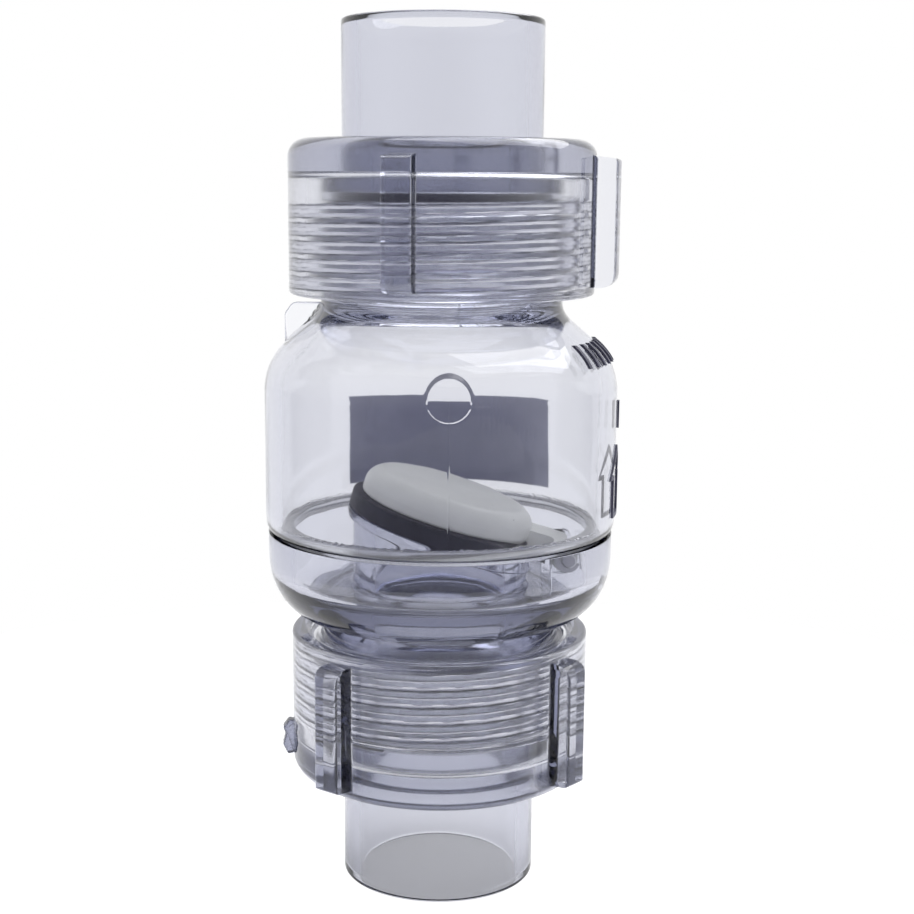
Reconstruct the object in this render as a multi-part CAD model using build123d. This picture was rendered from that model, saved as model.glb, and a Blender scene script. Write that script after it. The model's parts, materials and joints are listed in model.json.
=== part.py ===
from build123d import *
import math
import os

# A clear true-union swing check valve for 1-1/2 in pipe, standing on its inlet socket.
# The origin is the centre of the inlet socket's mouth and +Z is the way of the flow.
# Every length is in millimetres. Azimuths are in degrees about +Z, counted from -Y towards +X.
# The outlet end is drawn where it stands, and the inlet end is the same drawing turned about X.

# Driving dimensions
HEIGHT = 254.4
SIDE_PLAY = 0.2

# End connectors: a solvent socket for 48.26 mm pipe, with a flange that the union nut holds
SOCKET_R = 24.2
SOCKET_DEPTH = 35.0
SOCKET_OUTER_R = 29.0
FLOW_R = 20.4
FLANGE_R = 35.2
FLANGE_Z = (203.8, 211.5)

# Face seal, a round cord ring pressed into the flange's groove
RING_R = 30.5
RING_WIDTH = 3.5
RING_HEIGHT = 2.55
GROOVE_WIDTH = 3.8
GROOVE_DEPTH = 2.7

# Union thread, right-hand
PITCH = 5.0
THREAD_ROOT_R = 35.2
THREAD_CREST_R = 38.3
THREAD_BASE = 3.5
THREAD_TIP = 1.2
THREAD_Z = (180.6, 200.6)
RADIAL_CLEARANCE = 0.6
AXIAL_CLEARANCE = 0.6
WELD = 0.5

# Union nuts
NUT_R = 44.5
NUT_Z = (177.2, 221.2)
NUT_HOLE_R = 29.6
NUT_FLANGE = 9.5
NUT_THREAD_Z = (179.9, 202.4)
NUT_MOUTH = 0.9
LUG_HEIGHT = 7.0
LUG_WIDTH = 7.4
LUG_Z = (180.0, 216.0)
UPPER_LUGS = (-13.8, 76.2, 166.2)
LOWER_LUGS = (-38.8, 50.3, 140.3)

# Casing: a bell cemented over a bowl
NECK_Z = 203.6
NECK_BORE_R = 25.5
BELL_R = 51.9
WALL = 4.8
SEAM_Z = 107.4
SPIGOT_Z = 110.6
SPIGOT_R = 43.6
BOWL_R = 51.2
BOWL_Z = 101.5
BOWL_MIDDLE = (45.5, 86.7)
BOWL_BOTTOM = 81.4
BOWL_FLOOR = 92.0
FLOOR_BEND = 5.0
SHOULDER_Z = 158.1
NECK_ROOT_Z = 172.1
SHOULDER_BEND = 17.0
SHOULDER_WALL = 6.2
TAB_HALF = 1.3

# Flapper and seat, tilted down towards +X. The seat's plane crosses the axis at SEAT_Z.
SEAT_Z = 107.0
SEAT_TILT = math.degrees(math.atan(0.3))
SEAT_BORE_R = 19.6
SEAT_BORE_FROM = 80.0
SEAT_TUBE_R = 25.9
SEAT_CUT = 20.0
SEAT_LIP_R = 27.5
SEAT_LIP = 3.0
SEAL_R = 28.5
SEAL = 5.4
DISC_R = 26.0
DISC = 8.0
DISC_BEND = 5.0
SEAL_GAP = 0.15

# Hinge, along Y, in the flapper's own tilted axes: distance from the centre, height over the seat
HINGE_X = 36.7
HINGE_Z = 4.7
PIN_R = 2.0
PIN_LENGTH = 30.0
PIN_PLAY = 0.06
KNUCKLE_R = 4.2
KNUCKLE_HALF = 7.0
EAR_OF_SEAL = 32.2
SPACER = 1.0
EAR = 3.6

# Fixing of the seal to the disc
RETAINER_R = 13.0
RETAINER = 1.5
SCREW_R = 2.0
SCREW_LENGTH = 11.0
SCREW_HEAD_R = 4.4
SCREW_HEAD = 2.6

# Sticker and raised marks on the bell
LABEL_FROM = -31.5
LABEL_TO = 37.3
LABEL_Z = (113.4, 141.5)
LABEL = 0.2
MARK_AZIMUTH = 78.5
DASH_AZIMUTH = 84.0
DASH_Z = 142.8
DASH_LENGTH = 8.0
DASH_WIDTH = 2.0
ARROW_HALF = 9.0
ARROW_LINE = 1.2
MARK = 0.6
MARK_LIFT = 0.03
BAR_AZIMUTHS = (56, 62, 68, 74, 80, 86, 92)
BAR_Z = (158.5, 164.6)
BAR_WIDTH = 1.3

# The moulding gate and the parting line on the bell's front
GATE_AZIMUTH = 2.4
GATE_Z = 152.6
GATE_R = 6.2
GATE = 0.6
PARTING = 0.12


def turned(outline, bends=()):
    """Solid of revolution about Z from (radius, height) corners, with some corners rounded."""
    face = make_face(Polyline(*outline, close=True))
    for corner, radius in bends:
        vertex = face.vertices().sort_by_distance((corner[0], corner[1], 0))[0]
        face = fillet(vertex, radius)
    return revolve(Plane.XZ * face, Axis.Z)


def ring(outer, inner, low, high):
    """Plain tube from low to high about Z."""
    return turned([(inner, low), (outer, low), (outer, high), (inner, high)])


def at_azimuth(shape, azimuth):
    """Turn a shape drawn on the +X side to an azimuth counted from -Y."""
    return Rot(0, 0, azimuth - 90) * shape


def inlet_end(shape):
    """Turn an outlet-end shape about X on to the inlet end. A right-hand thread stays right-hand."""
    return Pos(0, 0, HEIGHT) * Rot(180, 0, 0) * shape


def ridge(base_r, tip_r, base, tip, span, phase):
    """Helical ridge of trapezoid section, whose middle is at height phase on the +X side."""
    low, high = span
    path = Helix(PITCH, high - low, (base_r + tip_r) / 2)
    half = base / 2
    point = tip / 2
    outline = Polyline((base_r, -half), (tip_r, -point), (tip_r, point), (base_r, half), close=True)
    body = sweep(Plane.XZ * make_face(outline), path, is_frenet=True)
    return Pos(0, 0, low) * Rot(0, 0, 360 * (low - phase) / PITCH) * body


def flank(radius):
    """Half width of the male ridge at a radius."""
    slope = (THREAD_BASE - THREAD_TIP) / 2 / (THREAD_CREST_R - THREAD_ROOT_R)
    return THREAD_BASE / 2 - slope * (radius - THREAD_ROOT_R)


def male_ridge():
    """Outer thread of a neck, sunk a little into the neck so that the two are one solid."""
    base_r = THREAD_ROOT_R - WELD
    return ridge(base_r, THREAD_CREST_R, 2 * flank(base_r), THREAD_TIP, THREAD_Z, THREAD_Z[0])


def female_ridge():
    """Inner thread of a nut, half a turn on from the neck's, with clearance on both flanks."""
    tip_r = THREAD_ROOT_R + RADIAL_CLEARANCE
    base_r = THREAD_CREST_R + RADIAL_CLEARANCE + WELD
    tip = PITCH - 2 * flank(tip_r) - AXIAL_CLEARANCE
    base = PITCH - 2 * flank(base_r) - AXIAL_CLEARANCE
    return ridge(base_r, tip_r, base, tip, NUT_THREAD_Z, THREAD_Z[0] + PITCH / 2)


def end_connector():
    """Outlet socket: pipe socket, pipe stop, flow bore, and the flange with its seal groove."""
    stop = HEIGHT - SOCKET_DEPTH
    outline = [
        (FLOW_R, FLANGE_Z[0]), (FLANGE_R, FLANGE_Z[0]), (FLANGE_R, FLANGE_Z[1]),
        (SOCKET_OUTER_R, FLANGE_Z[1]), (SOCKET_OUTER_R, HEIGHT), (SOCKET_R, HEIGHT),
        (SOCKET_R, stop), (FLOW_R, stop),
    ]
    bends = [((FLANGE_R, FLANGE_Z[1]), 0.8), ((SOCKET_OUTER_R, HEIGHT), 0.9), ((FLOW_R, stop), 0.8)]
    half = GROOVE_WIDTH / 2
    groove = ring(RING_R + half, RING_R - half, FLANGE_Z[0] - 1, FLANGE_Z[0] + GROOVE_DEPTH)
    return turned(outline, bends) - groove


def face_ring():
    """Rubber ring squeezed to an oval section in the flange's groove."""
    middle = FLANGE_Z[0] - 0.05 + RING_HEIGHT / 2
    section = Pos(RING_R, middle) * Ellipse(RING_WIDTH / 2, RING_HEIGHT / 2)
    return revolve(Plane.XZ * section, Axis.Z)


def union_nut(lugs):
    """Ring nut: inner thread, closed end that pulls on the flange, and grip lugs."""
    low, high = NUT_Z
    root_r = THREAD_CREST_R + RADIAL_CLEARANCE
    shoulder = high - NUT_FLANGE
    outline = [
        (root_r, low), (NUT_R, low), (NUT_R, high), (NUT_HOLE_R, high),
        (NUT_HOLE_R, shoulder), (root_r, shoulder),
    ]
    bends = [((NUT_R, low), 1.2), ((NUT_R, high), 6.0), ((NUT_HOLE_R, high), 1.0),
             ((root_r, shoulder), 2.0)]
    nut = turned(outline, bends)
    top = low + NUT_MOUTH
    under = low - NUT_MOUTH
    wide_r = root_r + 2 * NUT_MOUTH
    mouth = turned([(root_r - 1, under), (wide_r, under), (root_r, top), (root_r - 1, top)])
    nut = nut - mouth
    for azimuth in lugs:
        nut = nut + at_azimuth(lug(), azimuth)
    return nut + female_ridge()


def lug():
    """Grip lug on the +X side of the nut, with its long outer edges and ends eased."""
    low, high = LUG_Z
    reach = NUT_R + LUG_HEIGHT
    sunk = NUT_R - 2.0
    side = make_face(Polyline((sunk, low), (reach, low), (reach, high), (sunk, high), close=True))
    side = fillet(side.vertices().sort_by_distance((reach, low, 0))[0], 4.0)
    side = fillet(side.vertices().sort_by_distance((reach, high, 0))[0], 1.0)
    body = extrude(Plane.XZ * side, LUG_WIDTH / 2, both=True)
    outer = body.edges().filter_by(Axis.Z).sort_by(Axis.X)[-2:]
    return fillet(outer, 0.8)


def gate_stub():
    """Broken-off moulding gate left on the side of the inlet nut, on the +X side."""
    lower = Pos(NUT_R + 0.4, 0, 41.5) * Rot(0, 62, 8) * Box(7.0, 5.0, 4.6)
    upper = Pos(NUT_R + 0.6, 0.4, 45.6) * Rot(12, 40, -10) * Box(4.6, 4.4, 4.4)
    return lower + upper


def slope_height(radius):
    """Height of the bell's outer cone at a radius."""
    fall = (NECK_ROOT_Z - SHOULDER_Z) / (BELL_R - THREAD_ROOT_R)
    return SHOULDER_Z + fall * (BELL_R - radius)


def bell_outline(grow=0.0):
    """Corners of the bell's outside, from the seam up to the neck, moved out by grow."""
    shoulder = (BELL_R + grow, SHOULDER_Z + grow / 2)
    return [(BELL_R + grow, SEAM_Z), shoulder, (THREAD_ROOT_R + grow, NECK_ROOT_Z + grow)]


def upper_body():
    """Bell: cylinder, bent shoulder, cone and threaded neck, with its moulded details."""
    inner_r = BELL_R - WALL
    bore_top = slope_height(NECK_BORE_R) - SHOULDER_WALL
    inner_shoulder = slope_height(inner_r) - SHOULDER_WALL
    outline = bell_outline() + [
        (THREAD_ROOT_R, NECK_Z), (NECK_BORE_R, NECK_Z), (NECK_BORE_R, bore_top),
        (inner_r, inner_shoulder), (inner_r, SEAM_Z),
    ]
    bends = [((BELL_R, SHOULDER_Z), SHOULDER_BEND), ((THREAD_ROOT_R, NECK_ROOT_Z), 5.0),
             ((inner_r, inner_shoulder), SHOULDER_BEND - WALL),
             ((NECK_BORE_R, bore_top), 4.0), ((BELL_R, SEAM_Z), 0.6),
             ((THREAD_ROOT_R, NECK_Z), 0.8), ((NECK_BORE_R, NECK_Z), 0.6)]
    bell = turned(outline, bends) + gusset()
    bell = bell + gate_boss()
    return bell + parting_line() + male_ridge()


def gusset():
    """Thin upright tab on the bell's shoulder, on the -X side."""
    outline = Polyline((34.0, 174.5), (43.2, 174.5), (45.9, 171.0), (45.9, 161.0), (34.0, 170.5), close=True)
    plate = extrude(Plane.XZ * make_face(outline), TAB_HALF, both=True)
    return Rot(0, 0, 180) * plate


def gate_boss():
    """Round moulding-gate boss on the front of the bell."""
    reach = 10.0
    disc = Pos(0, -BELL_R - GATE + reach / 2, GATE_Z) * Rot(90, 0, 0) * Cylinder(GATE_R, reach)
    disc = fillet(disc.edges().sort_by(Axis.Y)[0], 0.5) - Cylinder(BELL_R - WALL + 0.5, 600)
    return Rot(0, 0, GATE_AZIMUTH) * disc


def parting_line():
    """Fine moulding line up the front of the bell, on both sides of the gate boss."""
    inside = BELL_R - WALL / 2
    outline = bell_outline(PARTING) + [
        (THREAD_ROOT_R - 1, NECK_ROOT_Z + PARTING), (inside - 2, SHOULDER_Z - 4),
        (inside, SHOULDER_Z - 8), (inside, SEAM_Z + 1),
    ]
    outline[0] = (BELL_R + PARTING, SEAM_Z + 1)
    face = make_face(Polyline(*outline, close=True))
    corner = face.vertices().sort_by_distance((BELL_R + PARTING, SHOULDER_Z, 0))[0]
    face = fillet(corner, SHOULDER_BEND)
    line = extrude(Plane.XZ * face, 0.15, both=True)
    return at_azimuth(line, GATE_AZIMUTH)


def seat_plane():
    """Plane of the tilted seat: its X runs down the slope to the hinge, its Z is the seat's normal."""
    tilt = math.radians(SEAT_TILT)
    return Plane(origin=(0, 0, SEAT_Z), x_dir=(math.cos(tilt), 0, -math.sin(tilt)),
                 z_dir=(math.sin(tilt), 0, math.cos(tilt)))


def lower_body():
    """Bowl: spigot for the bell, tilted seat on its tube, hinge ears and the inlet neck."""
    neck_end = HEIGHT - NECK_Z
    side = (BOWL_R, BOWL_Z)
    waist = (THREAD_ROOT_R, BOWL_BOTTOM)
    outer = ThreePointArc(side, BOWL_MIDDLE, waist)
    taper = SEAT_BORE_FROM - (NECK_BORE_R - SEAT_BORE_R)
    above_seat = SEAT_Z + 9
    flat_end = (SPIGOT_R - FLOOR_BEND, BOWL_FLOOR)
    bend_end = (SPIGOT_R, BOWL_FLOOR + FLOOR_BEND)
    short = FLOOR_BEND * (1 - math.sqrt(0.5))
    wall = Polyline(waist, (THREAD_ROOT_R, neck_end + 0.8), (THREAD_ROOT_R - 0.8, neck_end),
                    (NECK_BORE_R + 0.6, neck_end), (NECK_BORE_R, neck_end + 0.6), (NECK_BORE_R, taper),
                    (SEAT_BORE_R, SEAT_BORE_FROM), (SEAT_BORE_R, above_seat), (SEAT_TUBE_R, above_seat),
                    (SEAT_TUBE_R, BOWL_FLOOR), flat_end)
    inner = ThreePointArc(flat_end, (SPIGOT_R - short, BOWL_FLOOR + short), bend_end)
    spigot_outer = BELL_R - WALL - 0.08
    rim = Polyline(bend_end, (SPIGOT_R, SPIGOT_Z), (spigot_outer, SPIGOT_Z),
                   (spigot_outer, SEAM_Z - 0.1), (BOWL_R, SEAM_Z - 0.1), side)
    bowl = revolve(Plane.XZ * make_face([outer, wall, inner, rim]), Axis.Z)
    above = seat_plane() * Pos(0, 0, SEAT_CUT / 2) * Box(70, 60, SEAT_CUT)
    bowl = bowl - (above & Cylinder(SEAT_TUBE_R + 1, 400))
    bowl = bowl + seat_lip()
    bowl = bowl + hinge_ears() + lower_tab()
    return bowl + inlet_end(male_ridge())


def seat_lip():
    """Flat ring at the top of the seat tube, square to the seat's normal."""
    lip = Pos(0, 0, -SEAT_LIP / 2) * Cylinder(SEAT_LIP_R, SEAT_LIP)
    return seat_plane() * lip - Cylinder(SEAT_BORE_R, 400)


def hinge_ears():
    """Two upright ears from the bowl's floor, each with an open-topped slot that the pin snaps into."""
    x, z = hinge_place()
    inner = KNUCKLE_HALF + SPACER + 2 * SIDE_PLAY
    foot = BOWL_FLOOR - 2
    ears = None
    for side in (-1, 1):
        middle = side * (inner + EAR / 2)
        post = Pos(x, middle, (z + foot) / 2) * Box(9.0, EAR, z - foot)
        head = Pos(x, middle, z) * Rot(90, 0, 0) * Cylinder(4.5, EAR)
        web = Pos(x + 5.5, middle, BOWL_FLOOR) * Box(6.0, EAR, 8.0)
        bore = Pos(x, middle, z) * Rot(90, 0, 0) * Cylinder(PIN_R + 0.03, EAR + 2)
        slot = Pos(x, middle, z + 4) * Box(2 * PIN_R - 0.5, EAR + 2, 8)
        ear = post + head + web - bore - slot
        ears = ear if ears is None else ears + ear
    return ears & ring(SPIGOT_R + 1, SEAT_TUBE_R + 1, foot, SEAT_Z)


def lower_tab():
    """Small tab under the bowl, on the -X side."""
    outline = Polyline((34.0, 81.6), (42.5, 81.6), (45.4, 83.6), (45.4, 88.0), (34.0, 88.0), close=True)
    plate = extrude(Plane.XZ * make_face(outline), TAB_HALF, both=True)
    return Rot(0, 0, 180) * plate


def hinge_place():
    """Global x and z of the hinge's axis."""
    point = seat_plane() * Pos(HINGE_X, 0, HINGE_Z)
    return point.position.X, point.position.Z


def flapper_disc():
    """White weight disc with its arm and the knuckle that turns on the pin."""
    base = SEAL + SEAL_GAP
    disc = Pos(0, 0, base + DISC / 2) * Cylinder(DISC_R, DISC)
    disc = fillet(disc.edges().sort_by(Axis.Z)[-1], DISC_BEND)
    disc = fillet(disc.edges().sort_by(Axis.Z)[0], 0.8)
    reach = HINGE_X - DISC_R + 4
    arm = Pos(HINGE_X - reach / 2, 0, base + 1.7) * Box(reach, 2 * KNUCKLE_HALF, 3.3)
    knuckle = Pos(HINGE_X, 0, HINGE_Z) * Rot(90, 0, 0) * Cylinder(KNUCKLE_R, 2 * KNUCKLE_HALF)
    bore = Pos(HINGE_X, 0, HINGE_Z) * Rot(90, 0, 0) * Cylinder(PIN_R + PIN_PLAY, 40)
    hole = Pos(0, 0, base - 1) * Cylinder(SCREW_R, 2 * (SCREW_LENGTH - SEAL - RETAINER + 1.5))
    return seat_plane() * (disc + arm + knuckle - bore - hole)


def flapper_seal():
    """Rubber disc that closes on the seat, with a rounded rim, a screw hole and an ear under the arm."""
    seal = Pos(0, 0, SEAL_GAP + SEAL / 2) * Cylinder(SEAL_R, SEAL)
    seal = fillet(seal.edges(), 0.8)
    start = DISC_R - 6
    length = EAR_OF_SEAL - start
    ear = Pos(start + length / 2, 0, SEAL_GAP + SEAL / 2) * Box(length, 2 * KNUCKLE_HALF, SEAL - 0.1)
    hole = Cylinder(SCREW_R, 40)
    return seat_plane() * (seal + ear - hole)


def seal_retainer():
    """Stainless washer under the seal, inside the seat's bore."""
    washer = Pos(0, 0, SEAL_GAP - RETAINER / 2) * (Cylinder(RETAINER_R, RETAINER) - Cylinder(SCREW_R, 9))
    return seat_plane() * washer


def retainer_screw():
    """Pan-head screw from below, through the washer and the seal into the disc."""
    under = SEAL_GAP - RETAINER
    shank = Pos(0, 0, under + SCREW_LENGTH / 2) * Cylinder(SCREW_R, SCREW_LENGTH)
    head = Pos(0, 0, under - SCREW_HEAD / 2) * Cylinder(SCREW_HEAD_R, SCREW_HEAD)
    head = fillet(head.edges().sort_by(Axis.Z)[0], 1.4)
    cross = Pos(0, 0, under - SCREW_HEAD) * (Box(4.6, 0.9, 2.6) + Box(0.9, 4.6, 2.6))
    return seat_plane() * (shank + head - cross)


def hinge_pin():
    """Stainless pin with eased ends."""
    x, z = hinge_place()
    pin = Cylinder(PIN_R, PIN_LENGTH)
    pin = chamfer(pin.edges().filter_by(GeomType.CIRCLE), 0.4)
    return Pos(x, 0, z) * Rot(90, 0, 0) * pin


def hinge_pin_clips():
    """Two split snap rings on the pin, outside the ears."""
    x, z = hinge_place()
    outer = KNUCKLE_HALF + SPACER + 2 * SIDE_PLAY + EAR
    clips = []
    for side in (-1, 1):
        clip = Cylinder(PIN_R + 1.6, 0.8) - Cylinder(PIN_R, 2) - Pos(4, 0, 0) * Box(8, 2.2, 2)
        clips.append(Pos(x, side * (outer + 0.5), z) * Rot(90, 0, 0) * clip)
    return Compound(children=clips)


def hinge_spacers():
    """Two thrust washers on the pin, between the knuckle and the ears."""
    x, z = hinge_place()
    washers = []
    for side in (-1, 1):
        washer = Cylinder(KNUCKLE_R - 0.4, SPACER) - Cylinder(PIN_R + 0.03, 4)
        middle = side * (KNUCKLE_HALF + SIDE_PLAY + SPACER / 2)
        washers.append(Pos(x, middle, z) * Rot(90, 0, 0) * washer)
    return Compound(children=washers)


def rear_label():
    """Thin rectangular sticker wrapped on the back of the bell."""
    low, high = LABEL_Z
    skin = ring(BELL_R + 0.02 + LABEL, BELL_R + 0.02, low, high)
    middle = (LABEL_FROM + LABEL_TO) / 2
    block = Pos(middle, 40, (low + high) / 2) * Box(LABEL_TO - LABEL_FROM, 60, high - low)
    return skin & block


def mark_skin():
    """Thin skin over the bell's outside, that every printed mark is cut from."""
    skins = []
    for grow in (MARK_LIFT + MARK, MARK_LIFT):
        outline = bell_outline(grow) + [(THREAD_ROOT_R, SEAM_Z)]
        skins.append(turned(outline, [((BELL_R + grow, SHOULDER_Z), SHOULDER_BEND)]))
    return skins[0] - skins[1] - ring(BELL_R + 5, 0, NECK_ROOT_Z - 4, NECK_ROOT_Z + 5)


def flow_marks():
    """Upward arrow outline, a dash over it and plain bars on the shoulder, as thin printed shapes."""
    skin = mark_skin()
    shapes = []
    arrow = arrow_outline(0) - arrow_outline(ARROW_LINE)
    dash = Pos(0, DASH_Z) * Rectangle(DASH_WIDTH, DASH_LENGTH)
    for face, azimuth in ((arrow, MARK_AZIMUTH), (dash, DASH_AZIMUTH)):
        prism = extrude(Plane.YZ * face, BELL_R + 20)
        shapes.append(at_azimuth(prism, azimuth) & skin)
    low, high = BAR_Z
    for azimuth in BAR_AZIMUTHS:
        bar = Pos(BELL_R - 4, 0, (low + high) / 2) * Box(16, BAR_WIDTH, high - low)
        shapes.append(at_azimuth(bar, azimuth) & skin)
    return Compound(children=shapes)


def arrow_outline(inset):
    """Upward arrow: a shaft under a wider head, drawn inset from its full size, on (across, height)."""
    half = ARROW_HALF - inset
    shaft = half * 0.62
    low = 113.6 + inset
    neck = 125.0 + inset
    tip = 134.5 - inset * 1.3
    return make_face(Polyline((-shaft, low), (shaft, low), (shaft, neck), (half, neck), (0, tip),
                              (-half, neck), (-shaft, neck), close=True))


def save(name, shape):
    """Write one sub-part's STEP file under its node name."""
    export_step(shape, f"parts/{name}.step")


os.makedirs("parts", exist_ok=True)
save("upper_body", upper_body())
save("lower_body", lower_body())
save("upper_union_nut", union_nut(UPPER_LUGS))
lower_lugs = [180 - azimuth for azimuth in LOWER_LUGS]
save("lower_union_nut", inlet_end(union_nut(lower_lugs)) + at_azimuth(gate_stub(), -84.0))
save("upper_end_connector", end_connector())
save("lower_end_connector", inlet_end(end_connector()))
save("upper_face_o_ring", face_ring())
save("lower_face_o_ring", inlet_end(face_ring()))
save("flapper_disc", flapper_disc())
save("flapper_seal", flapper_seal())
save("seal_retainer", seal_retainer())
save("retainer_screw", retainer_screw())
save("hinge_pin", hinge_pin())
save("hinge_pin_clips", hinge_pin_clips())
save("hinge_spacers", hinge_spacers())
save("rear_label", rear_label())
save("flow_marks", flow_marks())
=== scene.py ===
"""Looks for a clear true-union swing check valve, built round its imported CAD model.

The clear mouldings are surfaces of revolution on (row, column) grids, worked out with numpy in
millimetres and written in metres. Rows follow a closed outline of radius and height, columns
are azimuths counted from -Y towards +X. The inlet end is the outlet end turned about X.
"""

import json
import logging
import math
from dataclasses import dataclass
from enum import Enum

import bpy
import numpy as np
from mathutils import Matrix, Vector

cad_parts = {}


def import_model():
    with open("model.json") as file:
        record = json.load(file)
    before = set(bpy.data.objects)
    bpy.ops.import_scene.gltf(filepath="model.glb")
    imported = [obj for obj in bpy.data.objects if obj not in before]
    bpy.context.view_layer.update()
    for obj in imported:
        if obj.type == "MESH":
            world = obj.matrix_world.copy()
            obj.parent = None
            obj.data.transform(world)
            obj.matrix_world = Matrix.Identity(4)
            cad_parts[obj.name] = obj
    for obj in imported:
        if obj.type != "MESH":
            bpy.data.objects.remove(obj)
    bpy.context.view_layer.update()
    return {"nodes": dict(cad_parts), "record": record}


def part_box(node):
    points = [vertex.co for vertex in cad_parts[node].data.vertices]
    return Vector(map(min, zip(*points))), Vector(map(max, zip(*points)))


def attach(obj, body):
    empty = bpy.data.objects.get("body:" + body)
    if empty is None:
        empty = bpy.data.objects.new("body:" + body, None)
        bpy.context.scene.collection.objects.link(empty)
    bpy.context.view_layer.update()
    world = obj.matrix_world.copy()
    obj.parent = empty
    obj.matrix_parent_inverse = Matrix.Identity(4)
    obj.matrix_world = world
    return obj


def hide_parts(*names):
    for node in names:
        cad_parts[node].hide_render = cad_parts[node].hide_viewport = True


log = logging.getLogger("check_valve")

MM = 0.001
TAU = 2 * math.pi
# The widest steps along an outline's arcs, as an angle and in mm; the least gap between columns, in
# radians; how near a wall a point of it lies, in mm; and, in mm, how far columns stand out of a
# lug's side, and rows up from its lower end and its upper end.
ARC_TURN = math.radians(9)
ARC_LENGTH = 0.7
LEAST_COLUMN = 2e-5
ON_WALL = 0.05
LUG_SIDE = (0.6, 0.45, 0.3, 0.15, 0.05, 0.01, -0.01, -0.06, -0.2, -0.42, -0.8, -2.2)
LUG_START = (-0.02, 0.02, 0.3, 0.8, 1.6, 2.6, 4.0)
LUG_END = (-1.0, -0.6, -0.25, -0.02)


# ---------------------------------------------------------------- numpy surfaces


@dataclass(frozen=True)
class Corner:
    """A corner of an outline: radius and height in mm, the bend's radius, and the row spacing up to it."""

    r: float
    z: float
    bend: float = 0.0
    step: float = 3.0


def arc_points(before: np.ndarray, corner: np.ndarray, after: np.ndarray, radius: float) -> np.ndarray:
    """Points of the circular arc that rounds a corner.

    Formula: the arc touches both runs at radius * tan(turn / 2) from the corner, and its points
    are spaced evenly by angle about its centre, nine degrees or 0.7 mm apart at most.

    Args:
        before: the point before the corner.
        corner: the corner itself.
        after: the point after the corner.
        radius: the arc's radius.

    Returns:
        An array of (radius, height) points from one touch point to the other.
    """
    back = (before - corner) / np.linalg.norm(before - corner)
    ahead = (after - corner) / np.linalg.norm(after - corner)
    half = 0.5 * math.acos(float(np.clip(back @ ahead, -1, 1)))
    centre = corner + (back + ahead) / np.linalg.norm(back + ahead) * radius / math.sin(half)
    first = corner + back * radius / math.tan(half) - centre
    last = corner + ahead * radius / math.tan(half) - centre
    turn = math.atan2(first[0] * last[1] - first[1] * last[0], float(first @ last))
    count = max(4, int(abs(turn) / ARC_TURN) + 1, int(abs(turn) * radius / ARC_LENGTH) + 1)
    angles = np.linspace(0, turn, count)
    cosines, sines = np.cos(angles), np.sin(angles)
    return centre + np.stack([first[0] * cosines - first[1] * sines, first[0] * sines + first[1] * cosines], 1)


def outline_rows(corners: list[Corner]) -> np.ndarray:
    """Rows of a closed outline, with its bends as arcs and its straight runs cut to their spacing.

    Args:
        corners: the outline's corners in order, anticlockwise with radius to the right.

    Returns:
        An (n, 2) array of radius and height.
    """
    points = np.array([(c.r, c.z) for c in corners])
    stretches = []
    for i, corner in enumerate(corners):
        after = points[(i + 1) % len(points)]
        if corner.bend > 0:
            stretches.append(arc_points(points[i - 1], points[i], after, corner.bend))
        else:
            stretches.append(points[i : i + 1])
    rows = []
    for i, stretch in enumerate(stretches):
        start = stretches[i - 1][-1]
        gap = np.linalg.norm(stretch[0] - start)
        count = max(1, int(math.ceil(gap / corners[i].step)))
        rows.append(start + (stretch[0] - start) * (np.arange(1, count) / count)[:, None])
        rows.append(stretch)
    return np.concatenate(rows)


def soften(rows: np.ndarray, first: int, last: int, step: float, reach: float) -> np.ndarray:
    """Even out a run of rows and ease its bends into its straights.

    Formula: the run is cut afresh every step along its length, and each row becomes the mean of
    its neighbours within reach, weighted by a raised cosine. The ends are carried on straight.

    Args:
        rows: (n, 2) array of radius and height.
        first: index of the run's first row.
        last: index of its last row.
        step: the new spacing in mm.
        reach: half the width of the mean in mm.

    Returns:
        The rows with the run replaced.
    """
    run = rows[first : last + 1]
    length = np.concatenate([[0], np.cumsum(np.linalg.norm(np.diff(run, axis=0), axis=1))])
    even = np.linspace(0, length[-1], int(length[-1] / step) + 1)
    points = np.stack([np.interp(even, length, run[:, k]) for k in (0, 1)], 1)
    half = int(reach / step)
    weights = np.hanning(2 * half + 3)[1:-1]
    padded = np.pad(points, ((half, half), (0, 0)), mode="reflect", reflect_type="odd")
    eased = np.stack([np.convolve(padded[:, k], weights / weights.sum(), "valid") for k in (0, 1)], 1)
    return np.concatenate([rows[:first], eased, rows[last + 1 :]])


def columns(count: int, *refined: np.ndarray) -> np.ndarray:
    """Azimuths of a surface's columns, in radians: an even round plus the refined stretches.

    Args:
        count: how many columns the even round has.
        refined: more azimuths, where the surface needs them closer.

    Returns:
        All the azimuths in rising order, without any that nearly coincide.
    """
    azimuths = np.concatenate([np.arange(count) * TAU / count, *refined]) % TAU
    azimuths = np.unique(np.round(azimuths, 7))
    crowded = np.diff(azimuths) < LEAST_COLUMN
    return azimuths[np.concatenate([[True], ~crowded])]


def smooth_step(low: float, high: float, value: np.ndarray) -> np.ndarray:
    """Cubic rise from 0 at low to 1 at high."""
    t = np.clip((value - low) / (high - low), 0, 1)
    return t * t * (3 - 2 * t)


def wrap(angle: np.ndarray) -> np.ndarray:
    """Angle brought between minus and plus half a turn."""
    return (angle + math.pi) % TAU - math.pi


def ripple(azimuth: np.ndarray, height: np.ndarray, seed: int, size: float) -> np.ndarray:
    """Moulded waviness: the mean of six slow waves round and along the wall.

    Args:
        azimuth: azimuth of each point.
        height: height of each point.
        seed: seed of the waves' random counts and starts.
        size: the waviness's greatest height in mm.

    Returns:
        What to add to each point's radius.
    """
    rng = np.random.default_rng(seed)
    wave = np.zeros_like(azimuth)
    for _ in range(6):
        around = rng.integers(2, 9)
        along = rng.uniform(0.02, 0.14)
        wave += np.sin(around * azimuth + along * height + rng.uniform(0, TAU)) / 6
    return wave * size


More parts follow.
